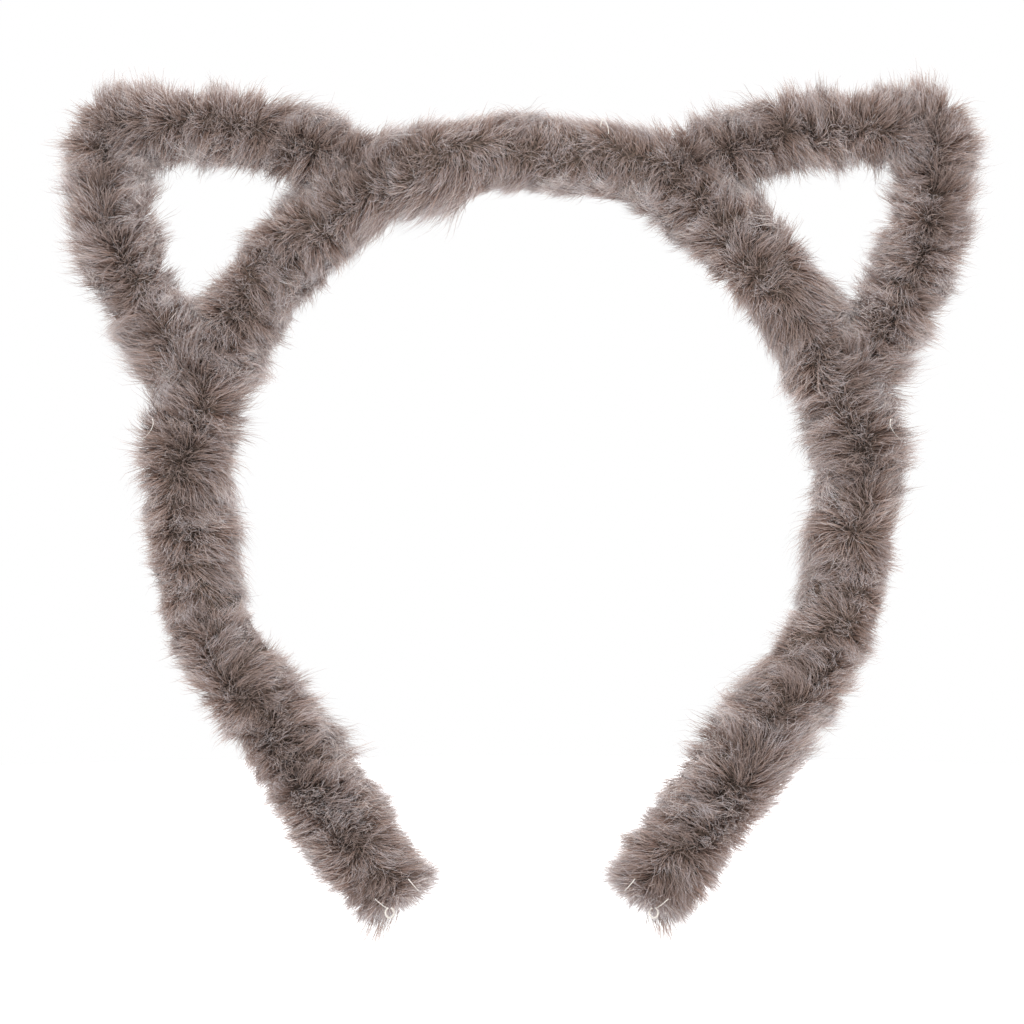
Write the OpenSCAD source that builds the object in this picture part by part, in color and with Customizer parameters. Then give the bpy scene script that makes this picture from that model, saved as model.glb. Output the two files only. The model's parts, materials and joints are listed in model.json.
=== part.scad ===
// Animal ears headband: a spring hoop and two wire ears, sleeved in faux fur.
// The hoop stands upright as it is worn. X runs across the ears, Y from front to back, Z up.
// The origin is the centre of the arc that goes round the head. "Left" is the -X side.
// Each half is drawn on the right (+X) side, in the flat XZ plane of the hoop, and mirrored.

/* [Hoop] */
// Radius of the arc along the middle of the spring strip
hoop_r = 66; // [64:0.5:68]
// Angle from the top of the hoop to the line about which each arm bends
hinge_angle = 14; // [13:0.5:15]
// Angle below level at which the arc ends and the straight lower arm begins
arc_end_angle = 33; // [28:1:38]
// Length of the straight lower arm, from the arc to the end of the fur
arm_len = 56; // [48:1:64]
// Thickness of the spring strip
strip_t = 1.2; // [0.8:0.1:1.4]
// Width of the spring strip, from front to back
strip_w = 6; // [5:0.5:6]

/* [Ears] */
// Distance of each ear's corner from the middle of the headband
ear_corner_x = 83.2; // [80:0.5:88]
// Height of each ear's corner above the centre of the hoop
ear_corner_z = 72.1; // [70:0.5:76]
// Diameter of the ear wire
wire_d = 1.8; // [1.4:0.1:2]

/* [Fur sleeve] */
// Radius of the cylinder on which the fur lies flat against the head
head_r = 58; // [57:0.25:58.5]
// Width of the strip of fur that lies flat against the head
head_flat_w = 6; // [4:0.5:7]
// Radius of the fur on the crown
crown_fur_r = 7.9; // [7.2:0.1:8.4]
// Radius of the fur on the arms
arm_fur_r = 9.4; // [9:0.1:10]
// Radius of the fur on the ears
ear_fur_r = 8.5; // [7.5:0.1:9]
// Outer radius of the knitted tube round the hoop
band_knit_r = 4.8; // [4.6:0.1:5.2]
// Outer radius of the knitted tube round each ear wire
ear_knit_r = 3.2; // [2.6:0.1:3.4]
// Thickness of the knitted backing
knit_t = 0.7; // [0.5:0.1:0.8]

/* [Sewing] */
// Radius of the thread in the long seams, the stitches and the loops at the tips
thread_r = 0.3; // [0.2:0.05:0.4]
// Radius of the loop of thread that closes the sleeve at each tip
tip_loop_r = 2.6; // [2:0.1:3]

/* [Hidden] */

$fn = 64;
wire_r = wire_d / 2;

// Half the angle that the sleeve and strip leave open at each hinge, so that the arm can turn.
hinge_gap = 1.4;
strip_hinge_gap = 0.4;
arm_start = 90 - hinge_angle - hinge_gap;
strip_start = 90 - hinge_angle - strip_hinge_gap;
crown_arc = 2 * (hinge_angle - hinge_gap);
strip_crown_arc = 2 * (hinge_angle - strip_hinge_gap);

// How far short of the fur's end the knitted tube, the cap and the strip stop.
knit_short = 4.5;
cap_gap = 0.5;
cap_end_t = 2;
cap_short = knit_short + knit_t + cap_gap;
strip_short = cap_short + cap_end_t;

// The cap on each end of the strip.
cap_len = 12;
cap_wall = 0.8;
cap_t = strip_t + 2 * cap_wall;
cap_w = strip_w + 2 * cap_wall;

// The fur's taper at each tip, a little inside the fur before it.
tip_taper = 4;
tip_taper_in = 3;
tip_step = 0.2;

// The fur's outline is a circle whose centre is pushed out until its flat lies on the head.
function fur_centre(r) = head_r - hoop_r + sqrt(r * r - pow(head_flat_w / 2, 2));

// The ear's feet lie on the outside of the strip, tangent to it at these angles.
foot_r = hoop_r + strip_t / 2 + wire_r;
inner_foot_angle = 71;
outer_foot_angle = 13;
inner_foot_len = 3.3;
outer_foot_len = 4;
knee_from_inner_foot = 6;
knee_from_outer_foot = 6.65;

// The ear's legs bow outwards at the brow and the cheek.
brow_x = 57;
brow_rise = 0.45;
cheek_z = 48.7;
cheek_in = 0.7;
knee_bend_r = 8;
brow_bend_r = 60;
ear_bend_r = 4;
cheek_bend_r = 36;

// A point beside the hoop: on the tangent at an angle, some way clockwise along it.
function foot_point(angle, along) =
    foot_r * [cos(angle), sin(angle)] + along * [sin(angle), -cos(angle)];

// The ear wire's corners in order from the inner foot, and the bend radius at each.
inner_foot = foot_point(inner_foot_angle, -inner_foot_len);
inner_knee = foot_point(inner_foot_angle, knee_from_inner_foot);
brow = [brow_x, ear_corner_z + brow_rise];
ear_corner = [ear_corner_x, ear_corner_z];
cheek = [ear_corner_x - cheek_in, cheek_z];
outer_knee = foot_point(outer_foot_angle, -knee_from_outer_foot);
outer_foot = foot_point(outer_foot_angle, outer_foot_len);
ear_points = [inner_foot, inner_knee, brow, ear_corner, cheek, outer_knee, outer_foot];
ear_bends = [0, knee_bend_r, brow_bend_r, ear_bend_r, cheek_bend_r, knee_bend_r, 0];

// A line through points with rounded bends, as stations of [x, y, heading]. Each bend is a
// circle's arc, cut into equal steps. A turn is positive when it goes clockwise.
bend_step = 9;
function direction(a) = [cos(a), sin(a)];
function right_of(a) = [sin(a), -cos(a)];
function heading(p, i) = atan2(p[i + 1].y - p[i].y, p[i + 1].x - p[i].x);
function turn(p, i) = (heading(p, i - 1) - heading(p, i) + 540) % 360 - 180;
function setback(p, r, i) = r[i] * tan(abs(turn(p, i)) / 2);
function bend_start(p, r, i) = p[i] - setback(p, r, i) * direction(heading(p, i - 1));
function bend_centre(p, r, i) =
    bend_start(p, r, i) + sign(turn(p, i)) * r[i] * right_of(heading(p, i - 1));
function station(at, a) = [at.x, at.y, a];
function bend_stations(p, r, i) =
    let (n = ceil(abs(turn(p, i)) / bend_step), side = sign(turn(p, i)))
    [
        for (k = [0:n])
            let (a = heading(p, i - 1) - turn(p, i) * k / n)
            station(bend_centre(p, r, i) - side * r[i] * right_of(a), a)
    ];
function stations(p, r) = [
    station(p[0], heading(p, 0)),
    for (i = [1:len(p) - 2]) each bend_stations(p, r, i),
    station(p[len(p) - 1], heading(p, len(p) - 2))
];
ear_line = stations(ear_points, ear_bends);

// Stands the flat plane of the hoop upright.
module upright() rotate([90, 0, 0]) children();
module on_left() mirror([1, 0, 0]) children();

// Sweeps an outline along the crown, or along an arm from an angle of the arc to the tip. The
// outline's x points away from the head, from the middle of the strip, and its y is the depth.
arc_facets = 180;
module along_arc(from, to) {
    rotate(from) rotate_extrude(angle = to - from, $fn = arc_facets)
        translate([hoop_r, 0]) children();
}
module along_straight(from, to) {
    rotate(-arc_end_angle) translate([hoop_r, -from, 0])
        rotate([90, 0, 0]) linear_extrude(to - from) children();
}
module along_arm(start, short) {
    along_arc(-arc_end_angle, start) children();
    along_straight(0, arm_len - short) children();
}

// A ring of points round a line at one of its stations, beside the line by an offset.
function ring(at, r, sides, offset = 0) = [
    for (k = [0:sides - 1])
        let (side = offset + r * cos(360 * k / sides), left = -right_of(at.z))
        [at.x + side * left.x, at.y + side * left.y, r * sin(360 * k / sides)]
];
function rings(line, r, sides, offset = 0) = [for (at = line) ring(at, r, sides, offset)];

// Triangles between one ring and the next, counted on from the first point of each.
function band(a, b, sides) = [
    for (k = [0:sides - 1])
        let (n = (k + 1) % sides)
        each [[a + k, b + k, b + n], [a + k, b + n, a + n]]
];
function wall(first, count, sides) = [
    for (i = [0:count - 2]) each band(first + i * sides, first + (i + 1) * sides, sides)
];
function reversed(faces) = [for (f = faces) [f[2], f[1], f[0]]];

module solid_rod(rows) {
    sides = len(rows[0]);
    last = (len(rows) - 1) * sides;
    polyhedron(
        points = [for (row = rows) each row],
        faces = concat(
            wall(0, len(rows), sides),
            [[for (k = [0:sides - 1]) k]],
            [[for (k = [sides - 1:-1:0]) last + k]]
        )
    );
}

// A tube between two walls that have the same number of rings.
module tube(outer, inner) {
    sides = len(outer[0]);
    count = len(outer);
    first_in = count * sides;
    last = (count - 1) * sides;
    polyhedron(
        points = [for (row = outer) each row, for (row = inner) each row],
        faces = concat(
            wall(0, count, sides),
            reversed(wall(first_in, count, sides)),
            reversed(band(0, first_in, sides)),
            band(last, first_in + last, sides)
        )
    );
}

// Slides a point along a heading until it lies on the round band whose middle is a circle
// about the origin.
function on_band(p, a, middle_r, r) =
    let (
        q = [p.x, p.y],
        along = q * direction(a),
        reach = middle_r + sqrt(r * r - p.z * p.z),
        slide = sign(along) * sqrt(along * along - q * q + reach * reach) - along
    )
    [p.x + slide * cos(a), p.y + slide * sin(a), p.z];
function ring_on_band(row, a, middle_r, r) = [for (p = row) on_band(p, a, middle_r, r)];

// Slides a point along a heading until it lies on the mitre of the ear's corner.
mitre = (heading(ear_points, 2) + heading(ear_points, 3)) / 2;
function on_mitre(p, a) =
    let (slide = (ear_corner - [p.x, p.y]) * direction(mitre) / (direction(a) * direction(mitre)))
    [p.x + slide * cos(a), p.y + slide * sin(a), p.z];
function ring_on_mitre(row, a) = [for (p = row) on_mitre(p, a)];

// Cross-sections, centred on the strip.
module strip_section() square([strip_t, strip_w], center = true);

module knit_section() {
    difference() {
        circle(band_knit_r);
        circle(band_knit_r - knit_t);
        seam_section();
    }
}

// The seam's thread is sunk into the knitted tube, on the side next to the head.
module seam_section() translate([-band_knit_r, 0]) circle(thread_r);

// Fur round the knitted tube, with a flat that lies on the head.
module fur_outline(r) {
    difference() {
        translate([fur_centre(r), 0]) circle(r);
        translate([head_r - hoop_r - r, 0]) square(2 * r, center = true);
    }
}
module fur_section(r) {
    difference() {
        fur_outline(r);
        circle(band_knit_r);
        seam_section();
    }
}

// The spring strip, in one crown and two arms.
module hoop_crown() {
    color("silver") upright()
        along_arc(90 - strip_crown_arc / 2, 90 + strip_crown_arc / 2) strip_section();
}
module hoop_arm() color("silver") upright() along_arm(strip_start, strip_short) strip_section();
module left_hoop_arm() on_left() hoop_arm();
module right_hoop_arm() hoop_arm();

// A moulded cap on the strip's end, with rounded edges.
module cap_section() {
    end = (cap_w - cap_t) / 2;
    square([cap_t, 2 * end], center = true);
    for (side = [-1, 1]) translate([0, side * end]) circle(cap_t / 2);
}
module tip_cap() {
    end = arm_len - cap_short;
    color("dimgray") upright() {
        along_straight(end - cap_len, arm_len - strip_short) difference() {
            cap_section();
            strip_section();
        }
        along_straight(arm_len - strip_short, end) cap_section();
    }
}
module left_tip_cap() on_left() tip_cap();
module right_tip_cap() tip_cap();

// The bent wire inside an ear.
wire_sides = 12;
module ear_wire() {
    color("gainsboro") upright() solid_rod(rings(ear_line, wire_r, wire_sides));
}
module left_ear_wire() on_left() ear_wire();
module right_ear_wire() ear_wire();

// Tape wound tightly round the strip and a foot of the ear wire, open where the two touch.
binding_w = 5;
binding_t = 0.5;
binding_gap = 0.2;
module binding_section() {
    difference() {
        intersection() {
            circle(band_knit_r - knit_t - binding_gap);
            translate([-strip_t / 2 - binding_t, -band_knit_r])
                square([strip_t + wire_d + 2 * binding_t, 2 * band_knit_r]);
        }
        strip_section();
        translate([strip_t / 2, 0]) square(wire_r, center = true);
        translate([strip_t / 2 + wire_r, 0]) circle(wire_r);
    }
}
module binding(angle) {
    half = binding_w / 2 / hoop_r * 180 / PI;
    color("dimgray") upright() along_arc(angle - half, angle + half) binding_section();
}
module left_inner_binding() on_left() binding(inner_foot_angle);
module left_outer_binding() on_left() binding(outer_foot_angle);
module right_inner_binding() binding(inner_foot_angle);
module right_outer_binding() binding(outer_foot_angle);

// A straight hole where an ear leaves the band, along the ear from one of its knees.
hole_from_knee = 2;
hole_len = 14;
wire_gap = 0.15;
module ear_hole(knee, towards, r) {
    translate(knee) rotate(heading([knee, towards], 0)) rotate([0, 90, 0])
        translate([0, 0, hole_from_knee]) cylinder(r = r, h = hole_len);
}
module ear_holes(r) {
    ear_hole(inner_knee, brow, r);
    ear_hole(outer_knee, cheek, r);
}

// The knitted backing: tubes that the strip and the wires run through.
module crown_knit() {
    color("dimgray") upright() along_arc(90 - crown_arc / 2, 90 + crown_arc / 2) knit_section();
}
module arm_knit() {
    color("dimgray") upright() difference() {
        union() {
            along_arm(arm_start, knit_short + knit_t) knit_section();
            along_straight(arm_len - knit_short - knit_t, arm_len - knit_short)
                circle(band_knit_r);
        }
        ear_holes(wire_r + wire_gap);
    }
}
module left_arm_knit() on_left() arm_knit();
module right_arm_knit() arm_knit();

// The ear's knitted tube runs from knee to knee, with its ends shaped to the band's.
ear_knit_sides = 14;
knit_fit_gap = 0.3;
knit_line = stations(
    [inner_knee, brow, ear_corner, cheek, outer_knee],
    [0, brow_bend_r, ear_bend_r, cheek_bend_r, 0]
);
function knit_rows(r, sides, offset = 0) =
    let (rows = rings(knit_line, r, sides, offset), n = len(rows) - 1)
    [
        ring_on_band(rows[0], knit_line[0].z, hoop_r, band_knit_r + knit_fit_gap),
        for (i = [1:n - 1]) rows[i],
        ring_on_band(rows[n], knit_line[n].z, hoop_r, band_knit_r + knit_fit_gap)
    ];
module ear_knit() {
    color("dimgray") upright()
        tube(knit_rows(ear_knit_r, ear_knit_sides), knit_rows(ear_knit_r - knit_t, ear_knit_sides));
}
module left_ear_knit() on_left() ear_knit();
module right_ear_knit() ear_knit();

// The thread of the long seam that closes each knitted tube.
module crown_seam() {
    color("tan") upright() along_arc(90 - crown_arc / 2, 90 + crown_arc / 2) seam_section();
}
module arm_seam() color("tan") upright() along_arm(arm_start, knit_short + knit_t) seam_section();
module left_arm_seam() on_left() arm_seam();
module right_arm_seam() arm_seam();

ear_seam_sides = 6;
module ear_seam() {
    color("tan") upright() solid_rod(knit_rows(thread_r, ear_seam_sides, -ear_knit_r));
}
module left_ear_seam() on_left() ear_seam();
module right_ear_seam() ear_seam();

// The fur, thinner on the crown, with a blunt tapered end at each tip.
taupe = [0.50, 0.44, 0.41];
module crown_fur() {
    color(taupe) upright()
        along_arc(90 - crown_arc / 2, 90 + crown_arc / 2) fur_section(crown_fur_r);
}
module tip_fur() {
    r = arm_fur_r - tip_step;
    taper = tip_taper + tip_step;
    rotate(-arc_end_angle) difference() {
        translate([hoop_r + fur_centre(arm_fur_r), -arm_len + taper, 0])
            rotate([90, 0, 0]) cylinder(r1 = r, r2 = r - tip_taper_in, h = taper);
        translate([head_r + tip_step - r, -arm_len, 0]) cube(2 * r, center = true);
    }
}
module arm_fur() {
    color(taupe) upright() difference() {
        union() {
            along_arc(-arc_end_angle, arm_start) fur_section(arm_fur_r);
            along_straight(0, arm_len - knit_short) fur_section(arm_fur_r);
            along_straight(arm_len - knit_short, arm_len - tip_taper) fur_outline(arm_fur_r);
            tip_fur();
        }
        ear_holes(ear_knit_r);
    }
}
module left_arm_fur() on_left() arm_fur();
module right_arm_fur() arm_fur();

// One leg of an ear's fur, from the surface of the arm's fur to the corner's mitre.
ear_fur_sides = 20;
fur_fit_gap = 0.9;
function fur_rows(line, r) =
    let (rows = rings(line, r, ear_fur_sides), n = len(rows) - 1)
    [
        ring_on_band(rows[0], line[0].z, hoop_r + fur_centre(arm_fur_r), arm_fur_r + fur_fit_gap),
        for (i = [1:n - 1]) rows[i],
        ring_on_mitre(rows[n], line[n].z)
    ];
module ear_leg_fur(points, bends) {
    line = stations(points, bends);
    color(taupe) upright() tube(fur_rows(line, ear_fur_r), fur_rows(line, ear_knit_r));
}

module ear_top_fur() ear_leg_fur([inner_knee, brow, ear_corner], [0, brow_bend_r, 0]);
module left_ear_top_fur() on_left() ear_top_fur();
module right_ear_top_fur() ear_top_fur();

module ear_side_fur() ear_leg_fur([outer_knee, cheek, ear_corner], [0, cheek_bend_r, 0]);
module left_ear_side_fur() on_left() ear_side_fur();
module right_ear_side_fur() ear_side_fur();

// Stitches round each end of the ear's knitted tube, where it is sewn to the band's.
stitch_from_knee = 6;
module stitch_ring(knee, towards) {
    translate(knee) rotate(heading([knee, towards], 0)) rotate([0, 90, 0])
        translate([0, 0, stitch_from_knee])
        rotate_extrude() translate([ear_knit_r + thread_r, 0]) circle(thread_r);
}
module ear_stitches() {
    color("tan") upright() {
        stitch_ring(inner_knee, brow);
        stitch_ring(outer_knee, cheek);
    }
}
module left_ear_stitches() on_left() ear_stitches();
module right_ear_stitches() ear_stitches();

// A loop of thread through the closed end of the sleeve, which hangs out of the fur at the tip.
module tip_stitches() {
    color("wheat") upright() rotate(-arc_end_angle)
        translate([hoop_r, -arm_len + knit_short - tip_loop_r, 0])
        rotate_extrude() translate([tip_loop_r, 0]) circle(thread_r);
}
module left_tip_stitches() on_left() tip_stitches();
module right_tip_stitches() tip_stitches();

hoop_crown();
left_hoop_arm();
right_hoop_arm();
left_tip_cap();
right_tip_cap();
left_ear_wire();
right_ear_wire();
left_inner_binding();
left_outer_binding();
right_inner_binding();
right_outer_binding();
crown_knit();
left_arm_knit();
right_arm_knit();
left_ear_knit();
right_ear_knit();
crown_seam();
left_arm_seam();
right_arm_seam();
left_ear_seam();
right_ear_seam();
crown_fur();
left_arm_fur();
right_arm_fur();
left_ear_top_fur();
left_ear_side_fur();
right_ear_top_fur();
right_ear_side_fur();
left_ear_stitches();
right_ear_stitches();
left_tip_stitches();
right_tip_stitches();
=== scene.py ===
import json
import math

import bpy
import numpy as np
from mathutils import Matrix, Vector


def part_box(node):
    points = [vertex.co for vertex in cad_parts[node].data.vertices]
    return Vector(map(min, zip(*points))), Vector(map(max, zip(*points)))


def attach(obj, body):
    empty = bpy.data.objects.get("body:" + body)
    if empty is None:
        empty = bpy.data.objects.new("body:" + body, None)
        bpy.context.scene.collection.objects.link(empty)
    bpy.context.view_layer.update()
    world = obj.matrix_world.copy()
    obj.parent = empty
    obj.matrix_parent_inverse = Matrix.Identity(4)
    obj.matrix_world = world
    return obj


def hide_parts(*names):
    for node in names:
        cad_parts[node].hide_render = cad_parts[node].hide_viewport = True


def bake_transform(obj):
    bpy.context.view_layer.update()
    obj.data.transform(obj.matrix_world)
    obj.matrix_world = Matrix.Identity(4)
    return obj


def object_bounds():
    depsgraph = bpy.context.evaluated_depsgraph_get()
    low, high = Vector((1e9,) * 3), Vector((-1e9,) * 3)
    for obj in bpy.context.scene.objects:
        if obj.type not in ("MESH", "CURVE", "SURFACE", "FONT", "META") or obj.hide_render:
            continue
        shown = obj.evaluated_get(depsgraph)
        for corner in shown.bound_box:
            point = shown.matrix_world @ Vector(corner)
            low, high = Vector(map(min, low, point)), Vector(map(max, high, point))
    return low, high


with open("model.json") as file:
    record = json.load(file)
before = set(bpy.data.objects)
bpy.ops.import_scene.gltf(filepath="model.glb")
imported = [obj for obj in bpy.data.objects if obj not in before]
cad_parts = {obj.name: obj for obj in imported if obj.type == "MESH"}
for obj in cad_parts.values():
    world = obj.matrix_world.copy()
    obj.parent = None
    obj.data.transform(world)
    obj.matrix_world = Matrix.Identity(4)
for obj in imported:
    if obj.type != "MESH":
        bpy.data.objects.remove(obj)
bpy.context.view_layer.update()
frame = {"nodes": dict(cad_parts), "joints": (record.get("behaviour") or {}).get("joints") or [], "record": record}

# ---------------------------------------------------------------- sizes
# Metres, in the frame of the CAD model. SIDES gives each half its sign along X.
MM = 0.001
SIDES = {"left": -1, "right": 1}

joints = {j["name"]: j for j in frame["joints"]}
hinge = np.array(joints["hoop_spring_right"]["pos_m"])
HOOP_R = float(math.hypot(hinge[0], hinge[2]))
WIRE_R = 0.9 * MM
wire_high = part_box("right_ear_wire")[1]
EAR_CORNER = np.array([wire_high[0] - WIRE_R, wire_high[2] - WIRE_R])

ARC_END_DEG = -33
ARM_LEN = 52.5 * MM
FOOT_R = HOOP_R + 1.5 * MM
BAND_KNIT_R = 4.8 * MM
EAR_KNIT_R = 3.2 * MM
# The sleeve's middle lies this far outside the strip, and the strands' roots just over the knit.
FUR_SHIFT = 0.9 * MM
ROOT_RISE = 0.2 * MM
BAND_ROOT_R = BAND_KNIT_R + ROOT_RISE
EAR_ROOT_R = EAR_KNIT_R + ROOT_RISE

rng = np.random.default_rng(20)


# ---------------------------------------------------------------- paths
def on_circle(r, degrees):
    a = math.radians(degrees)
    return np.array([r * math.cos(a), r * math.sin(a)])


def beside_foot(degrees, along):
    """A point on the tangent of the wire's foot on the hoop, some way towards the tip."""
    a = math.radians(degrees)
    return on_circle(FOOT_R, degrees) + along * np.array([math.sin(a), -math.cos(a)])


# How far the fur reaches on each side of the band, from the crown to the tip, and of the ear,
# from its inner foot to its outer one: pairs of a length along and a reach, in millimetres.
BAND_OUTER = [
    (0, 7.3), (20, 8.1), (32, 9.6), (45, 7.8), (55, 7.0), (68, 7.0), (78, 8.6),
    (88, 11.4), (100, 10.3), (115, 9.4), (140, 10.4), (165, 11.3), (180, 10.4), (195, 9.0),
]
BAND_INNER = [
    (0, 7.9), (25, 8.1), (42, 10.4), (62, 11.3), (78, 10.9), (100, 10.3), (118, 9.0),
    (126, 7.0), (142, 7.6), (155, 9.4), (175, 10.6), (195, 10.2),
]
EAR_OUTER = [
    (0, 8.6), (20, 8.0), (45, 7.3), (57, 7.8), (66, 9.3), (82, 8.4), (94, 10.2), (111, 10.8),
]
EAR_INNER = [(0, 8.7), (26, 9.3), (48, 10.0), (66, 9.6), (82, 8.3), (92, 7.4), (111, 7.8)]


class Path:
    """A line in the XZ plane, with a point, a heading and an outer side at each length along it.

    outer and inner say how far the fur reaches beside it, in millimetres at lengths along it.
    The middle of the fur lies halfway between the two.
    """

    def __init__(self, points, outer, inner, step=0.25 * MM):
        points = np.array(points)
        legs = np.linalg.norm(np.diff(points, axis=0), axis=1)
        at = np.concatenate([[0], np.cumsum(legs)])
        self.length = at[-1]
        self.s = np.arange(0, self.length, step)
        self.p = np.stack([np.interp(self.s, at, points[:, k]) for k in (0, 1)], 1)
        ahead = np.gradient(self.p, axis=0)
        self.t = ahead / np.linalg.norm(ahead, axis=1)[:, None]
        reach = [MM * np.interp(self.s / MM, *zip(*side)) for side in (outer, inner)]
        self.fur_r = (reach[0] + reach[1]) / 2
        self.shift = (reach[0] - reach[1]) / 2

    def middle(self):
        return self.p + self.shift[:, None] * np.stack([-self.t[:, 1], self.t[:, 0]], 1)

    def at(self, s, column):
        return np.stack([np.interp(s, self.s, column[:, k]) for k in (0, 1)], 1)

    def place(self, s, angle, r, shift=None):
        """World points beside the line. The angle goes from the outer side towards the front."""
        over = s - np.clip(s, 0, self.s[-1])
        t = self.at(s, self.t)
        t /= np.linalg.norm(t, axis=1)[:, None]
        p = self.at(s, self.p) + t * over[:, None]
        outer = np.stack([-t[:, 1], t[:, 0]], 1)
        shift = np.interp(s, self.s, self.shift) if shift is None else shift
        side = p + outer * (shift + r * np.cos(angle))[:, None]
        return np.stack([side[:, 0], -r * np.sin(angle), side[:, 1]], 1)


CORNER_STEPS = 16


def rounded(points, bends):
    """The corner points of a line, with each inner corner replaced by an arc of that radius."""
    out = [points[0]]
    for i in range(1, len(points) - 1):
        before, corner, after = points[i - 1], points[i], points[i + 1]
        a = (corner - before) / np.linalg.norm(corner - before)
        b = (after - corner) / np.linalg.norm(after - corner)
        turn = math.atan2(a[0] * b[1] - a[1] * b[0], a @ b)
        setback = bends[i] * math.tan(abs(turn) / 2)
        inward = math.copysign(1, turn) * np.array([-a[1], a[0]])
        centre = corner - setback * a + bends[i] * inward
        arm = -bends[i] * inward
        for k in range(CORNER_STEPS + 1):
            c, s = math.cos(turn * k / CORNER_STEPS), math.sin(turn * k / CORNER_STEPS)
            out.append(centre + np.array([c * arm[0] - s * arm[1], s * arm[0] + c * arm[1]]))
    out.append(points[-1])
    return out


ARC_STEPS = 200
# The sleeve's middle moves out from the strip's over this much of the hoop, from the crown on.
SHIFTS_OVER_DEG = 40


def band_path():
    """From the middle of the crown down the right arm to the closed end of the sleeve."""
    sweep = np.linspace(90, ARC_END_DEG, ARC_STEPS)
    centre_r = HOOP_R + FUR_SHIFT * np.clip((90 - sweep) / SHIFTS_OVER_DEG, 0, 1)
    points = [on_circle(r, d) for r, d in zip(centre_r, sweep)]
    a = math.radians(ARC_END_DEG)
    points.append(points[-1] + ARM_LEN * np.array([math.sin(a), -math.cos(a)]))
    return Path(points, BAND_OUTER, BAND_INNER)


# The ear's knees, beside its feet on the hoop, and where its legs bow out.
INNER_KNEE = beside_foot(71, 6 * MM)
OUTER_KNEE = beside_foot(13, -6.65 * MM)
BROW = np.array([57 * MM, EAR_CORNER[1] + 0.45 * MM])
CHEEK = np.array([EAR_CORNER[0] - 0.7 * MM, 48.7 * MM])
EAR_BENDS = [0, 60 * MM, 3.5 * MM, 36 * MM, 0]


def ear_path():
    """From the ear's inner knee by the corner to its outer knee."""
    corners = [INNER_KNEE, BROW, EAR_CORNER, CHEEK, OUTER_KNEE]
    return Path(rounded(corners, EAR_BENDS), EAR_OUTER, EAR_INNER)


BAND = band_path()
EAR = ear_path()
EAR_TURN = EAR.s[np.argmin(np.linalg.norm(EAR.p - EAR_CORNER, axis=1))]


def mirrored(points, sign):
    return points * np.array([sign, 1, 1])


# ---------------------------------------------------------------- noise
def hashed(cells, seed):
    """A repeatable random number from 0 to 1 for each row of whole numbers."""
    low = 0xFFFFFFFF
    h = np.full(len(cells), (seed * 2654435761) & low, np.uint64)
    for column in cells.T:
        h = (h ^ (column.astype(np.int64) & low).astype(np.uint64)) * np.uint64(0x9E3779B1)
        h = (h ^ (h >> np.uint64(15))) & np.uint64(low)
    h = (h * np.uint64(0x85EBCA6B)) & np.uint64(low)
    h = h ^ (h >> np.uint64(13))
    return h.astype(float) / 2**32


def noise(points, size, seed):
    """Smooth value noise from -1 to 1 at points in space, with features of about that size."""
    q = points / size
    cell = np.floor(q).astype(np.int64)
    f = q - cell
    f = f * f * (3 - 2 * f)
    total = np.zeros(len(points))
    for dx in (0, 1):
        for dy in (0, 1):
            for dz in (0, 1):
                corner = np.array([dx, dy, dz])
                weight = np.prod(np.where(corner, f, 1 - f), axis=1)
                total += weight * hashed(cell + corner, seed)
    return 2 * total - 1


def nearest_tuft(s, around, size, girth, seed):
    """The middle of each strand's tuft, on a jittered grid that wraps round the sleeve."""
    count = max(3, round(girth / size))
    cell_a = girth / count
    i, j = np.floor(s / size).astype(int), np.floor(around / cell_a).astype(int)
    best = np.full(len(s), np.inf)
    mid_s, mid_a, name = np.zeros(len(s)), np.zeros(len(s)), np.zeros((len(s), 2), int)
    for di in (-1, 0, 1):
        for dj in (-1, 0, 1):
            ci, cj = i + di, j + dj
            key = np.stack([ci, cj % count], 1)
            ps = (ci + 0.15 + 0.7 * hashed(key, seed)) * size
            pa = (cj + 0.15 + 0.7 * hashed(key, seed + 1)) * cell_a
            d = (ps - s) ** 2 + (pa - around) ** 2
            closer = d < best
            best = np.where(closer, d, best)
            mid_s, mid_a = np.where(closer, ps, mid_s), np.where(closer, pa, mid_a)
            name = np.where(closer[:, None], key, name)
    return mid_s, mid_a, name


# ---------------------------------------------------------------- strands
# Where a strand's rings and its tip lie along it, and the rings' radii for a width of 1.
STEPS = np.array([0, 0.3, 0.66, 1.0])
RING_RADII = np.array([0.5, 0.42, 0.25])
RINGS = len(RING_RADII)
RING_SIDES = 3
STRAND_FACES = 2 * RING_SIDES * (RINGS - 1) + RING_SIDES + 1
MAX_FACES = 190000
MAX_STRANDS = MAX_FACES // STRAND_FACES


def strand_faces():
    """The triangles of one strand: a base, walls between its rings, and a pointed tip."""
    faces = [(0, 2, 1)]
    for ring in range(RINGS - 1):
        for k in range(RING_SIDES):
            a, b = ring * RING_SIDES + k, ring * RING_SIDES + (k + 1) % RING_SIDES
            faces += [(a, b, b + RING_SIDES), (a, b + RING_SIDES, a + RING_SIDES)]
    tip = RINGS * RING_SIDES
    for k in range(RING_SIDES):
        faces.append((tip - RING_SIDES + k, tip - RING_SIDES + (k + 1) % RING_SIDES, tip))
    return np.array(faces)


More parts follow.
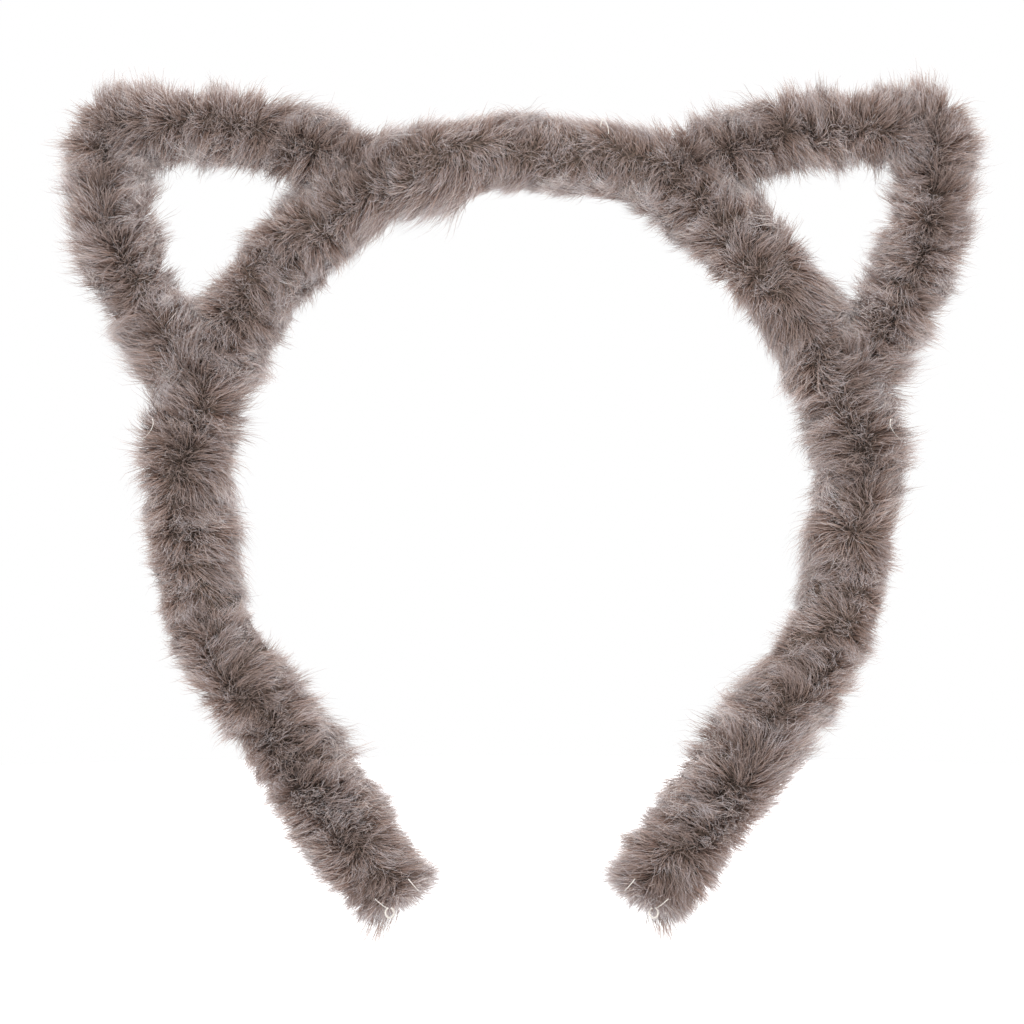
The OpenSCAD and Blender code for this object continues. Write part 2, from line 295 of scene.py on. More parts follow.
def fur_mesh(name, lines, width, tone):
    """A mesh of closed tapered strands. lines has the four points of each strand's middle."""
    n = len(lines)
    forward = np.diff(lines, axis=1)
    forward = np.concatenate([forward[:, :1], (forward[:, :-1] + forward[:, 1:]) / 2], 1)
    forward /= np.linalg.norm(forward, axis=2)[..., None] + 1e-12
    helper = rng.normal(size=(n, 1, 3))
    across = np.cross(forward, helper)
    across /= np.linalg.norm(across, axis=2)[..., None] + 1e-12
    other = np.cross(forward, across)
    per = RINGS * RING_SIDES + 1
    co = np.zeros((n, per, 3))
    uv = np.zeros((n, per, 2))
    for ring in range(RINGS):
        for k in range(RING_SIDES):
            a = 2 * math.pi * k / RING_SIDES
            r = (width * RING_RADII[ring])[:, None]
            v = ring * RING_SIDES + k
            co[:, v] = lines[:, ring] + r * (
                math.cos(a) * across[:, ring] + math.sin(a) * other[:, ring]
            )
            uv[:, v, 1] = STEPS[ring]
    co[:, -1] = lines[:, -1]
    uv[:, -1, 1] = 1
    uv[..., 0] = tone[:, None]
    faces = (strand_faces()[None] + per * np.arange(n)[:, None, None]).reshape(-1)
    return triangle_mesh(name, co.reshape(-1, 3), faces, uv.reshape(-1, 2))


def triangle_mesh(name, co, faces, uv=None):
    mesh = bpy.data.meshes.new(name)
    mesh.vertices.add(len(co))
    mesh.vertices.foreach_set("co", co.astype(np.float32).ravel())
    mesh.loops.add(len(faces))
    mesh.loops.foreach_set("vertex_index", faces.astype(np.int32))
    mesh.polygons.add(len(faces) // 3)
    mesh.polygons.foreach_set("loop_start", np.arange(0, len(faces), 3, dtype=np.int32))
    mesh.update(calc_edges=True)
    mesh.polygons.foreach_set("use_smooth", np.ones(len(faces) // 3, bool))
    if uv is not None:
        layer = mesh.uv_layers.new(name="OFBake")
        layer.data.foreach_set("uv", uv[faces].astype(np.float32).ravel())
    mesh.validate()
    obj = bpy.data.objects.new(name, mesh)
    bpy.context.collection.objects.link(obj)
    return obj


# Three sizes of tuft, one within the other, and how far strands are drawn to the middle of each.
FINE, TUFT, LOCK = 1.1 * MM, 2.8 * MM, 5.5 * MM
FINE_PULL, TUFT_PULL, LOCK_PULL = (0, 0.3), (0.25, 0.75), (0, 0.4)
# How far a strand's tip leans from its root, in millimetres.
LEAN_ALONG, LEAN_AROUND = 4.8, 4.3
# The shares of short filler hairs, of stray hairs and of long thin guard hairs.
SHORT_SHARE, STRAY_SHARE, GUARD_SHARE = 0.36, 0.13, 0.45
GUARD_LENGTH = (1.05, 1.48)
FILLER_LENGTH = (0.5, 0.9)
WIDTH, GUARD_WIDTH = 0.18, 0.10
# The pile is calmer this near to the middle of the crown.
CALM_TO = 45 * MM
# Where the pile is crowded most, each place that is tried gets a strand. Elsewhere one in 2.5 does.
MOST_CROWDED = 2.5
DARKEST, PALEST = 0.02, 0.98


def sleeve_strands(path, tries, root_r, height, bias, sign, seed, crowd=None):
    """Strands all round a sleeve: (lines, width, tone, s), with the place s along it.

    height gives the pile's height at (s, angle), and bias its slant along the sleeve. crowd
    gives how many times denser than usual a place is, because the outside of a bend has more
    room. The noise is laid out in the real place of this half, which sign gives.
    """
    s = rng.uniform(0, path.length, tries)
    angle = rng.uniform(-math.pi, math.pi, tries)
    wanted = crowd(s, angle) if crowd else np.ones(tries)
    keep = np.flatnonzero(rng.uniform(size=tries) * MOST_CROWDED < wanted)
    s, angle = s[keep], angle[keep]
    root = mirrored(path.place(s, angle, np.full(len(s), root_r)), sign)
    girth = 2 * math.pi * root_r
    around = (angle % (2 * math.pi)) / (2 * math.pi) * girth

    fine_s, fine_a, fine = nearest_tuft(s, around, FINE, girth, seed)
    tuft_s, tuft_a, tuft = nearest_tuft(s, around, TUFT, girth, seed + 10)
    lock_s, lock_a, lock = nearest_tuft(s, around, LOCK, girth, seed + 20)

    # The nap parts along a wandering line near the middle of the front and of the back, and lies
    # to both edges. Slow noise turns it now up and now down, and each tuft has its own turn.
    drift = 0.9 * noise(root, 14 * MM, seed + 3) + 0.6 * noise(root, 5 * MM, seed + 4)
    to_edge = -np.tanh(1.1 * np.sin(2 * (angle - drift)))
    along = sign * (1.2 * noise(root, 17 * MM, seed + 5) + 0.9 * noise(root, 6 * MM, seed + 6))
    wild = 0.3 + 0.7 * np.clip(np.abs(root[:, 0]) / CALM_TO, 0, 1)
    along *= wild
    turned = [
        1.2 * (hashed(fine, seed + k) - 0.5)
        + wild * (4.8 * (hashed(tuft, seed + k) - 0.5) + 2.7 * (hashed(lock, seed + k) - 0.5))
        for k in (7, 8)
    ]
    short = rng.uniform(size=len(s)) < SHORT_SHARE
    flank = np.abs(np.cos(angle))
    stray = np.where(rng.uniform(size=len(s)) < STRAY_SHARE, 1.8, 0.5) * (1.35 - 0.35 * flank)
    lay = rng.normal(1.0, 0.16, len(s)) * np.where(short, 0.45, 1) * (0.75 + 0.25 * flank)
    lean_s = LEAN_ALONG * (bias(s, angle, sign) + along) + turned[0]
    lean_a = LEAN_AROUND * to_edge + turned[1]
    lean_s = (lay * lean_s + stray * rng.normal(size=len(s))) * MM
    lean_a = (lay * lean_a + stray * rng.normal(size=len(s))) * MM

    rise = height(s, angle, sign)
    rise *= 1 + 0.16 * noise(root, 9 * MM, seed + 9) + 0.14 * (hashed(fine, seed + 11) - 0.5)
    rise *= 1 + 0.36 * (hashed(tuft, seed + 12) - 0.5) + 0.42 * (hashed(lock, seed + 13) - 0.5)
    rise *= rng.normal(0.88, 0.12, len(s))
    rise *= np.where(short, rng.uniform(*FILLER_LENGTH, len(s)), 1)
    guard = ~short & (rng.uniform(size=len(s)) < GUARD_SHARE)
    rise *= np.where(guard, rng.uniform(*GUARD_LENGTH, len(s)), 1)

    curl = rng.normal(0, 0.4 * MM, (2, len(s)))
    pulls = [rng.uniform(*pull, len(s)) for pull in (FINE_PULL, TUFT_PULL, LOCK_PULL)]
    drawn_s = sum(p * (mid - s) for p, mid in zip(pulls, (fine_s, tuft_s, lock_s)))
    drawn_a = sum(p * (mid - around) for p, mid in zip(pulls, (fine_a, tuft_a, lock_a)))
    middle_r = root_r + 0.6 * rise
    heading = path.at(s, path.t)
    heading = np.stack([heading[:, 0], np.zeros(len(s)), heading[:, 1]], 1)
    lines = np.zeros((len(s), 4, 3))
    for k, t in enumerate(STEPS):
        r = root_r - 0.5 * MM * (t == 0) + rise * (1 - (1 - t) ** 1.7)
        bow = math.sin(math.pi * t)
        ds = lean_s * t**1.25 + drawn_s * t**1.5 + curl[0] * bow
        da = lean_a * t**1.25 + drawn_a * t**1.5 + curl[1] * bow
        lines[:, k] = path.place(s, angle + da / middle_r, r) + heading * ds[:, None]
    width = np.where(guard, GUARD_WIDTH, WIDTH) * MM * rng.uniform(0.75, 1.25, len(s))
    tone = 0.47 + 0.08 * noise(root, 7 * MM, seed + 14) + 0.14 * (hashed(fine, seed + 15) - 0.5)
    # Painted light and shade: fibres on the sleeve's edges are made paler and those on its front and back darker,
    # for light coming through the fringe and shade in the middle of the pile.
    tone += 0.62 * (flank - 0.54)
    tone += 0.32 * (hashed(tuft, seed + 16) - 0.5) + 0.14 * (hashed(lock, seed + 17) - 0.5)
    tone += rng.normal(0, 0.03, len(s)) + 0.06 * guard - 0.09 * short
    return lines, width, np.clip(tone, DARKEST, PALEST), s


CAP_FAN = math.radians(58)
CAP_PILE = 6.9 * MM
CAP_WIDTH = 0.17 * MM


def cap_strands(path, count, knit_r):
    """Strands on the closed end of a sleeve, which fan out, and are longest on the inner side."""
    rho = knit_r * np.sqrt(rng.uniform(size=count))
    angle = rng.uniform(-math.pi, math.pi, count)
    s = np.full(count, path.length)
    rim = rho / knit_r
    fan = CAP_FAN * rim + rng.normal(0, 0.2, count)
    height = CAP_PILE - (0.6 * (1 - rim) + 1.3 * rim * np.cos(angle)) * MM
    length = height * rng.normal(1.0, 0.17, count)
    swing = rng.normal(0, 0.25, count)
    lines = np.zeros((count, 4, 3))
    for k, t in enumerate(STEPS):
        bent = fan * (0.8 + 0.35 * t)
        ahead = length * t * np.cos(bent) - 0.6 * MM * (t == 0)
        lines[:, k] = path.place(s + ahead, angle + swing * t, rho + length * t * np.sin(bent))
    width = CAP_WIDTH * rng.uniform(0.75, 1.25, count)
    tone = np.clip(rng.normal(0.5, 0.2, count), DARKEST, PALEST)
    return lines, width, tone, s


# ---------------------------------------------------------------- materials
def new_material(name, roughness, specular=0.3, metallic=0.0):
    mat = bpy.data.materials.new(name)
    mat.use_nodes = True
    shader = mat.node_tree.nodes["Principled BSDF"]
    shader.inputs["Roughness"].default_value = roughness
    shader.inputs["Specular IOR Level"].default_value = specular
    shader.inputs["Metallic"].default_value = metallic
    return mat, mat.node_tree, shader


def ramp(tree, source, stops):
    node = tree.nodes.new("ShaderNodeValToRGB")
    elements = node.color_ramp.elements
    while len(elements) < len(stops):
        elements.new(0.5)
    for element, (at, colour) in zip(elements, stops):
        element.position = at
        element.color = (*colour, 1)
    tree.links.new(source, node.inputs["Fac"])
    return node.outputs["Color"]


def mixed(tree, kind, factor, a, b):
    node = tree.nodes.new("ShaderNodeMix")
    node.data_type = "RGBA"
    node.blend_type = kind
    if isinstance(factor, float):
        node.inputs["Factor"].default_value = factor
    else:
        tree.links.new(factor, node.inputs["Factor"])
    tree.links.new(a, node.inputs["A"])
    tree.links.new(b, node.inputs["B"])
    return node.outputs["Result"]


def fur_material():
    """Fibres: dark at the root and pale at the tip, from all brown ones to the palest.

    Along u, which is the fibre's tone, the tint turns from warm to cool and back. The tone is partly random and
    partly painted light: paler on the sleeves' edges, darker on their front and back.
    """
    mat, tree, shader = new_material("fur_pile", 0.62, 0.22)
    uv = tree.nodes.new("ShaderNodeUVMap")
    uv.uv_map = "OFBake"
    split = tree.nodes.new("ShaderNodeSeparateXYZ")
    tree.links.new(uv.outputs["UV"], split.inputs[0])
    brown = ramp(tree, split.outputs["Y"], [
        (0.0, (0.160, 0.096, 0.070)),
        (0.30, (0.200, 0.130, 0.101)),
        (0.60, (0.250, 0.177, 0.150)),
        (0.82, (0.305, 0.232, 0.212)),
        (1.0, (0.360, 0.293, 0.280)),
    ])
    # Partly painted light: the palest fibres' tips run to white, for their own pale tips and also for the glow of
    # light coming through them.
    pale = ramp(tree, split.outputs["Y"], [
        (0.0, (0.190, 0.110, 0.078)),
        (0.30, (0.305, 0.200, 0.162)),
        (0.60, (0.530, 0.420, 0.390)),
        (0.82, (0.930, 0.890, 0.905)),
        (1.0, (1.0, 1.0, 1.0)),
    ])
    stretch = tree.nodes.new("ShaderNodeMapping")
    stretch.inputs["Scale"].default_value = (30, 2, 1)
    tree.links.new(uv.outputs["UV"], stretch.inputs["Vector"])
    tint = tree.nodes.new("ShaderNodeTexNoise")
    tint.inputs["Scale"].default_value = 1
    tint.inputs["Detail"].default_value = 2
    tree.links.new(stretch.outputs["Vector"], tint.inputs["Vector"])
    tints = ramp(tree, tint.outputs["Fac"], [
        (0.38, (0.985, 0.922, 0.848)),
        (0.62, (0.945, 0.965, 1.0)),
    ])
    colour = mixed(tree, "MIX", split.outputs["X"], brown, pale)
    colour = mixed(tree, "MULTIPLY", 1.0, colour, tints)
    tree.links.new(colour, shader.inputs["Base Color"])
    shader.inputs["Sheen Weight"].default_value = 0.15
    shader.inputs["Sheen Roughness"].default_value = 0.5
    return mat


def knit_material(name, dark, light, scale):
    """A fine knit: rows of loops from a wave, with fuzz on top."""
    mat, tree, shader = new_material(name, 0.9, 0.15)
    place = tree.nodes.new("ShaderNodeTexCoord")
    wave = tree.nodes.new("ShaderNodeTexWave")
    wave.inputs["Scale"].default_value = scale
    wave.inputs["Distortion"].default_value = 3
    wave.inputs["Detail"].default_value = 2
    fuzz = tree.nodes.new("ShaderNodeTexNoise")
    fuzz.inputs["Scale"].default_value = scale * 2.5
    for node in (wave, fuzz):
        tree.links.new(place.outputs["Object"], node.inputs["Vector"])
    loops = ramp(tree, wave.outputs["Fac"], [(0.2, dark), (0.8, light)])
    patches = ramp(tree, fuzz.outputs["Fac"], [(0.3, (0.6, 0.6, 0.6)), (0.7, (1, 1, 1))])
    tree.links.new(mixed(tree, "MULTIPLY", 1.0, loops, patches), shader.inputs["Base Color"])
    bump = tree.nodes.new("ShaderNodeBump")
    bump.inputs["Strength"].default_value = 0.6
    bump.inputs["Distance"].default_value = 0.2 * MM
    tree.links.new(wave.outputs["Fac"], bump.inputs["Height"])
    tree.links.new(bump.outputs["Normal"], shader.inputs["Normal"])
    return mat


def metal_material(name, colour, scale):
    """Rolled steel, with patches of duller and rougher metal."""
    mat, tree, shader = new_material(name, 0.35, 0.5, 1.0)
    place = tree.nodes.new("ShaderNodeTexCoord")
    patches = tree.nodes.new("ShaderNodeTexNoise")
    patches.inputs["Scale"].default_value = scale
    patches.inputs["Detail"].default_value = 4
    tree.links.new(place.outputs["Object"], patches.inputs["Vector"])
    dull = tuple(0.7 * c for c in colour)
    tree.links.new(
        ramp(tree, patches.outputs["Fac"], [(0.35, dull), (0.65, colour)]),
        shader.inputs["Base Color"],
    )
    rough = tree.nodes.new("ShaderNodeMapRange")
    rough.inputs["To Min"].default_value = 0.25
    rough.inputs["To Max"].default_value = 0.5
    tree.links.new(patches.outputs["Fac"], rough.inputs["Value"])
    tree.links.new(rough.outputs["Result"], shader.inputs["Roughness"])
    return mat


def grained_material(name, colour, roughness, scale, bump_height, darkest=0.72):
    """Moulded plastic, tape, thread or underfur: a fine grain in colour and height."""
    mat, tree, shader = new_material(name, roughness, 0.35)
    place = tree.nodes.new("ShaderNodeTexCoord")
    grain = tree.nodes.new("ShaderNodeTexNoise")
    grain.inputs["Scale"].default_value = scale
    grain.inputs["Detail"].default_value = 3
    tree.links.new(place.outputs["Object"], grain.inputs["Vector"])
    dark = tuple(darkest * c for c in colour)
    tree.links.new(
        ramp(tree, grain.outputs["Fac"], [(0.3, dark), (0.7, colour)]),
        shader.inputs["Base Color"],
    )
    bump = tree.nodes.new("ShaderNodeBump")
    bump.inputs["Strength"].default_value = 0.5
    bump.inputs["Distance"].default_value = bump_height
    tree.links.new(grain.outputs["Fac"], bump.inputs["Height"])
    tree.links.new(bump.outputs["Normal"], shader.inputs["Normal"])
    return mat


FUR = fur_material()
UNDERFUR = grained_material("underfur", (0.140, 0.098, 0.078), 0.95, 1700, 0.3 * MM, 0.12)
MATERIALS = {
    "spring_steel": metal_material("spring_steel", (0.56, 0.57, 0.58), 400),
    "ear_wire": metal_material("ear_wire", (0.62, 0.62, 0.62), 700),
    "cap_plastic": grained_material("cap_plastic", (0.05, 0.05, 0.05), 0.6, 900, 0.05 * MM),
    "cloth_tape": grained_material("cloth_tape", (0.12, 0.10, 0.09), 0.9, 1500, 0.1 * MM),
    "knit_backing": knit_material("knit_backing", (0.07, 0.05, 0.04), (0.16, 0.12, 0.10), 1200),
    "sewing_thread": grained_material("sewing_thread", (0.22, 0.17, 0.14), 0.7, 2500, 0.05 * MM),
}
PALE_THREAD = grained_material("pale_thread", (0.78, 0.74, 0.68), 0.7, 2500, 0.05 * MM)


def paint(obj, material):
    obj.data.materials.clear()
    obj.data.materials.append(material)


slot_of = {p["node"]: p["material_slot"] for p in frame["record"]["subparts"]}
for node, obj in frame["nodes"].items():
    material = MATERIALS.get(slot_of[node], UNDERFUR)
    for material_slot in obj.material_slots:
        material_slot.material = material


# ---------------------------------------------------------------- joining to the bodies
# The hoop bends from a little above each hinge to a little below it. The bend lies in this many of the band's fur
# pieces on each side, counted from the crown. These pieces are only fixed where they are and joined to no body, so
# they don't follow the bend.
BENDING_PIECES = 2


def bend_with_hoop(obj):
    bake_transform(obj)


def finish_piece(obj, side, nodes, bends):
    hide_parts(*nodes)
    if bends:
        bend_with_hoop(obj)
    else:
        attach(obj, f"{side}_arm")


# ---------------------------------------------------------------- the fur
def bump(s, middle, width):
    """A smooth bump of height 1, at a length along in millimetres."""
    return np.exp(-(((s / MM - middle) / width) ** 2))


def band_height(s, angle, sign):
    """How high the pile stands from its roots.

    On the crown's inner side a lock hangs down on the left, and the pile is short on the right.
    """
    inside = np.clip(-np.cos(angle), 0, 1) ** 2
    outside = np.clip(np.cos(angle), 0, 1) ** 2
    uneven = 3.4 * bump(s, 14, 4.5) if sign < 0 else -1.9 * bump(s, 29, 7)
    uneven = uneven * inside + 1.3 * bump(s, 1, 4) * outside
    return np.interp(s, BAND.s, BAND.fur_r) - BAND_ROOT_R + uneven * MM


def ear_height(s, angle, sign):
    """The same on the ear, where it stands longest on the outside of the corner."""
    uneven = 1.6 * bump(s, EAR_TURN / MM, 7) + (1.0 * bump(s, 36, 10) if sign < 0 else 0)
    outside = np.clip(np.cos(angle), 0, 1) ** 2
    return np.interp(s, EAR.s, EAR.fur_r) - EAR_ROOT_R + uneven * outside * MM


def band_bias(s, angle, sign):
    """Slant along the band. On the crown the top leans to the middle and the underside to -X.

    Down the arm, the outer side's tips point up.
    """
    top, under = np.clip(np.cos(angle), 0, 1), np.clip(-np.cos(angle), 0, 1)
    crown = np.clip((45 * MM - s) / (20 * MM), 0, 1)
    tip = np.clip((s - BAND.length + 8 * MM) / (8 * MM), 0, 1)
    arm = np.clip((s - 60 * MM) / (30 * MM), 0, 1)
    return crown * (-1.3 * top - 1.2 * sign * under) - 0.5 * arm * np.cos(angle) + 0.3 * tip


def ear_bias(s, angle, sign):
    """Slant along the ear: the outer side's tips point back to the crown."""
    away = np.clip(np.abs(s - EAR_TURN) / (12 * MM), 0, 1)
    return -0.45 * away * np.clip(np.cos(angle) + 0.2, 0, 1)


def ear_crowd(s, angle):
    """How many times denser than usual the ear's pile is: more on the outside of its corner."""
    near = np.abs(s - EAR_TURN) < 4 * MM
    return np.where(near, 1 + (MOST_CROWDED - 1) * np.clip(np.cos(angle), 0, 1), 1)


WISPS_FROM = np.array([27.9, -2.0, -85.8])
WISP_WIDTH = 0.085 * MM


def wisps(count):
    """Fine pale hairs that hang from the tip, laid out in millimetres."""
    s = np.full(count, BAND.length)
    start = WISPS_FROM + rng.normal(0, 1, (count, 3)) * (1.5, 1.5, 0.6)
    reach = rng.uniform(5.5, 10.0, count)
    drop = np.stack([rng.normal(0.28, 0.22, count), rng.normal(0, 0.2, count), -np.ones(count)], 1)
    bend = rng.normal(0, 0.9, (count, 3)) * (1, 0.6, 0)
    lines = np.zeros((count, 4, 3))
    for k, t in enumerate(STEPS):
        lines[:, k] = start + drop * (reach * t)[:, None] + bend * t**2
    return lines * MM, np.full(count, WISP_WIDTH), np.full(count, PALEST), s


# How many points are measured at once, to spare memory.
BLOCK = 20000


def clear_of(path, points, r, skip=0):
    """Which points are further than r from a path, whose first and last skip doesn't count."""
    flat = points[:, (0, 2)]
    line = path.middle()[(path.s > skip) & (path.s < path.length - skip)][::4]
    far = np.ones(len(points), bool)
    for start in range(0, len(points), BLOCK):
        block = slice(start, start + BLOCK)
        d = np.sqrt(((flat[block][:, None] - line[None]) ** 2).sum(2).min(1))
        far[block] = np.hypot(d, points[block, 1]) > r
    return far


BAND_TRIES = 198000
EAR_TRIES = 108000
CAP_STRANDS = 2600
WISPS = 90


def split_by_length(group, limit):
    """Cuts strands, in order of their place along the sleeve, into lots of at most limit."""
    lines, width, tone, s = group
    order = np.argsort(s, kind="stable")
    lots = math.ceil(len(s) / limit)
    return [[x[part] for x in (lines, width, tone)] for part in np.array_split(order, lots)]


def joined(a, b):
    return [np.concatenate([x, y]) for x, y in zip(a, b)]


def chosen(group, keep):
    return [x[keep] for x in group]


def make_fur(side, seed):
    sign = SIDES[side]
    band = sleeve_strands(
        BAND, BAND_TRIES, BAND_ROOT_R, band_height, band_bias, sign, seed
    )
    band = chosen(band, clear_of(EAR, band[0][:, 0], EAR_KNIT_R, 5 * MM))
    band = joined(band, cap_strands(BAND, CAP_STRANDS, BAND_KNIT_R))
    band = joined(band, wisps(WISPS))
    ear = sleeve_strands(
        EAR, EAR_TRIES, EAR_ROOT_R, ear_height, ear_bias, sign, seed + 50, ear_crowd
    )
    ear = chosen(ear, clear_of(BAND, ear[0][:, 0], BAND_KNIT_R - 0.6 * MM))
    for place, group, nodes in (
        ("band", band, [f"{side}_arm_fur"]),
        ("ear", ear, [f"{side}_ear_top_fur", f"{side}_ear_side_fur"]),
    ):
        for number, (lines, width, tone) in enumerate(split_by_length(group, MAX_STRANDS), 1):
            obj = fur_mesh(f"fur_{side}_{place}_{number}", mirrored(lines, sign), width, tone)
            paint(obj, FUR)
            first = place == "band" and number == 1
            bends = place == "band" and number <= BENDING_PIECES
            finish_piece(obj, side, nodes + ["crown_fur"] * first, bends)


UNDERFUR_RISE = 1.3 * MM
UNDERFUR_STEP = 0.8 * MM


def sleeve_mesh(name, path, r, s_from, s_to, sign, seed, sides=36):
    """A lumpy closed tube of short dense underfur."""
    count = int((s_to - s_from) / UNDERFUR_STEP)
    s = np.repeat(np.linspace(s_from, s_to, count), sides)
    angle = np.tile(np.linspace(0, 2 * math.pi, sides, endpoint=False), count)
    # The tube follows the pile's middle all the way inwards. Outwards it follows it part of the
    # way, and is thicker instead.
    shift = np.interp(s, path.s, path.shift)
    r = r + 0.2 * np.clip(shift, 0, None)
    shift = np.minimum(shift, 0.3 * shift)
    flat = path.place(s, angle, r, shift)
    lumps = 0.35 * noise(flat, 3 * MM, seed) + 0.3 * noise(flat, 1.2 * MM, seed + 1)
    co = path.place(s, angle, r + lumps * MM, shift)
    ends = path.place(np.array([s_from, s_to]), np.zeros(2), np.zeros(2))
    co = np.concatenate([co, ends])
    faces = []
    for i in range(count - 1):
        for k in range(sides):
            a, b = i * sides + k, i * sides + (k + 1) % sides
            faces += [a, b, b + sides, a, b + sides, a + sides]
    first, last = len(co) - 2, len(co) - 1
    for k in range(sides):
        a, b = k, (k + 1) % sides
        faces += [first, b, a, last, (count - 1) * sides + a, (count - 1) * sides + b]
    obj = triangle_mesh(name, mirrored(co, sign), np.array(faces))
    paint(obj, UNDERFUR)
    return obj


def make_underfur(side, seed):
    sign = SIDES[side]
    band = sleeve_mesh(
        f"underfur_{side}_band", BAND, BAND_KNIT_R + UNDERFUR_RISE,
        0, BAND.length + 0.8 * MM, sign, seed,
    )
    finish_piece(band, side, [f"{side}_arm_fur"], True)
    ear = sleeve_mesh(
        f"underfur_{side}_ear", EAR, EAR_KNIT_R + UNDERFUR_RISE,
        1 * MM, EAR.length - 1 * MM, sign, seed + 5,
    )
    finish_piece(ear, side, [f"{side}_ear_top_fur"], False)


FUR_SEED, UNDERFUR_SEED = 100, 60
for side in SIDES:
    make_fur(side, FUR_SEED)
    make_underfur(side, UNDERFUR_SEED)


# ---------------------------------------------------------------- threads and stray hairs
# A direction that no thread runs in, from which the tubes' sides are laid out.
ASKEW = (0.31, 0.81, 0.49)
CURVE_POINTS = 14
LOOP_POINTS = 40


def thread_mesh(name, lines, radii, sides=6):
    """Thin closed tubes along lines of points. A radius is a number, or one for each point."""
    co, faces = [], []
    for line, radius in zip(lines, radii):
        line = np.asarray(line, float)
        ahead = np.gradient(line, axis=0)
        ahead /= np.linalg.norm(ahead, axis=1)[:, None]
        across = np.cross(ahead, ASKEW)
        across /= np.linalg.norm(across, axis=1)[:, None]
        other = np.cross(ahead, across)
        first = len(co)
        for p, a, b, r in zip(line, across, other, np.broadcast_to(radius, len(line))):
            for k in range(sides):
                turn = 2 * math.pi * k / sides
                co.append(p + r * (math.cos(turn) * a + math.sin(turn) * b))
        for i in range(len(line) - 1):
            for k in range(sides):
                a, b = first + i * sides + k, first + i * sides + (k + 1) % sides
                faces += [a, b, b + sides, a, b + sides, a + sides]
        last = len(co) - sides
        for k in range(1, sides - 1):
            faces += [first, first + k + 1, first + k, last, last + k, last + k + 1]
    return triangle_mesh(name, np.array(co), np.array(faces))


def curve(start, middle, end, count=CURVE_POINTS):
    """A smooth curve from start to end, drawn towards the middle point, in millimetres."""
    t = np.linspace(0, 1, count)[:, None]
    a, b, c = (np.array(q, float) * MM for q in (start, middle, end))
    return (1 - t) ** 2 * a + 2 * t * (1 - t) * b + t**2 * c


def twisted(line, radius, turns):
    """Two plies wound round a line in the plane of the headband's front."""
    ahead = np.gradient(line, axis=0)
    ahead /= np.linalg.norm(ahead, axis=1)[:, None]
    across = np.cross(ahead, (0, 1, 0))
    depth = np.cross(ahead, across)
    phase = np.linspace(0, 2 * math.pi * turns, len(line))[:, None]
    wind = radius * (np.cos(phase) * across + np.sin(phase) * depth)
    return [line + wind, line - wind]


def make_threads(side):
    """The knotted loop of sewing thread at the tip, a loose end of it and some stray fibres."""
    sign = SIDES[side]
    turn = np.linspace(math.radians(-250), math.radians(70), LOOP_POINTS)
    round_x, round_z = np.cos(turn), np.sin(turn)
    bow = np.stack([26.0 + 0.85 * round_x, -8.9 + 0.4 * round_z, -84.6 + 0.95 * round_z], 1)
    tail = curve((26.4, -8.5, -83.8), (27.3, -9.3, -83.3), (28.9, -8.6, -81.9), 24)
    loop = twisted(bow * MM, 0.10 * MM, 7) + twisted(tail, 0.05 * MM, 4)
    radii = [0.11 * MM, 0.11 * MM, 0.06 * MM, 0.06 * MM]
    fibre = curve((22.3, -9.4, -77.9), (21.2, -10.3, -79.1), (20.2, -9.6, -80.3))
    hair = curve((72.8, -8.2, 12.7), (72.0, -8.0, 10.9), (75.6, -4.8, 8.3))
    radii.append(0.10 * MM * np.linspace(1, 0.5, CURVE_POINTS))
    radii.append(0.11 * MM * np.linspace(1, 0.4, CURVE_POINTS))
    lines = [mirrored(line, sign) for line in loop + [fibre, hair]]
    obj = thread_mesh(f"loose_threads_{side}", lines, radii)
    paint(obj, PALE_THREAD)
    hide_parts(f"{side}_tip_stitches")
    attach(obj, f"{side}_arm")


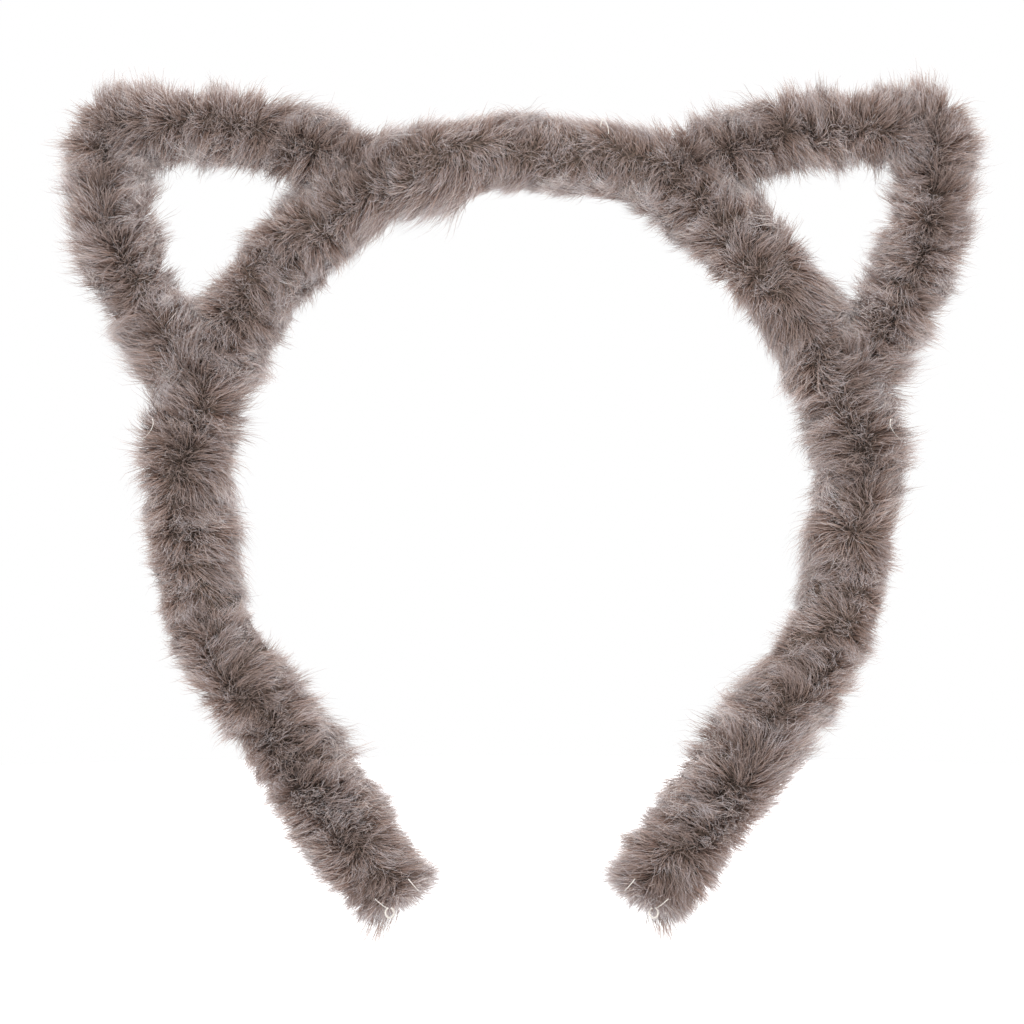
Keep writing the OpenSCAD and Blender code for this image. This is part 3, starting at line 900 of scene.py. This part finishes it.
def make_crown_hair():
    """A pale hair, bent in two, across the crown's pile on the right."""
    short = curve((15.6, -6.2, 70.6), (15.8, -7.2, 71.5), (16.1, -6.8, 72.1), 8)
    long = curve((16.1, -6.8, 72.1), (17.3, -8.2, 70.4), (17.1, -8.6, 68.8))
    line = np.concatenate([short, long[1:]])
    obj = thread_mesh("loose_hair_crown", [line], [0.12 * MM * np.linspace(1, 0.5, len(line))])
    paint(obj, PALE_THREAD)
    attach(obj, "crown")


for side in SIDES:
    make_threads(side)
make_crown_hair()


# ---------------------------------------------------------------- stage, light and camera
CAMERA_AT = (-1.9 * MM, -569 * MM, -5.7 * MM)
FLOOR_DROP = 6 * MM
FLOOR_R = 0.5
# Each light's place, its width and its power in watts. They all aim at the middle of the object.
LIGHTS = {
    "key": ((-0.35, -0.7, 0.75), 0.6, 7),
    "fill": ((0.6, -0.6, 0.2), 0.8, 2.5),
    "back": ((0.1, 0.7, 0.6), 0.6, 8),
}


def make_floor():
    low = float(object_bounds()[0][2]) - FLOOR_DROP
    bpy.ops.mesh.primitive_circle_add(vertices=128, radius=FLOOR_R, fill_type="NGON")
    floor = bpy.context.object
    floor.name = "floor"
    floor.location = (0, 0.05, low)
    mat, _, shader = new_material("pale_floor", 0.9, 0.1)
    shader.inputs["Base Color"].default_value = (0.93, 0.93, 0.94, 1)
    paint(floor, mat)


def make_world():
    world = bpy.data.worlds.new("studio")
    world.use_nodes = True
    background = world.node_tree.nodes["Background"]
    background.inputs["Color"].default_value = (1, 1, 1, 1)
    background.inputs["Strength"].default_value = 1.0
    bpy.context.scene.world = world


def make_light(name, at, size, power):
    light = bpy.data.lights.new(name, "AREA")
    light.shape = "DISK"
    light.size = size
    light.energy = power
    obj = bpy.data.objects.new(name, light)
    obj.location = at
    aim = -obj.location.copy()
    obj.rotation_euler = aim.to_track_quat("-Z", "Y").to_euler()
    bpy.context.collection.objects.link(obj)


def make_camera():
    camera = bpy.data.cameras.new("camera")
    camera.lens = 100
    camera.sensor_width = 36
    camera.clip_start = 0.01
    camera.clip_end = 20
    obj = bpy.data.objects.new("camera", camera)
    obj.location = CAMERA_AT
    obj.rotation_euler = (math.pi / 2, 0, 0)
    bpy.context.collection.objects.link(obj)
    bpy.context.scene.camera = obj


make_floor()
make_world()
for name, (at, size, power) in LIGHTS.items():
    make_light(name, at, size, power)
make_camera()
bpy.context.scene.view_settings.view_transform = "Standard"
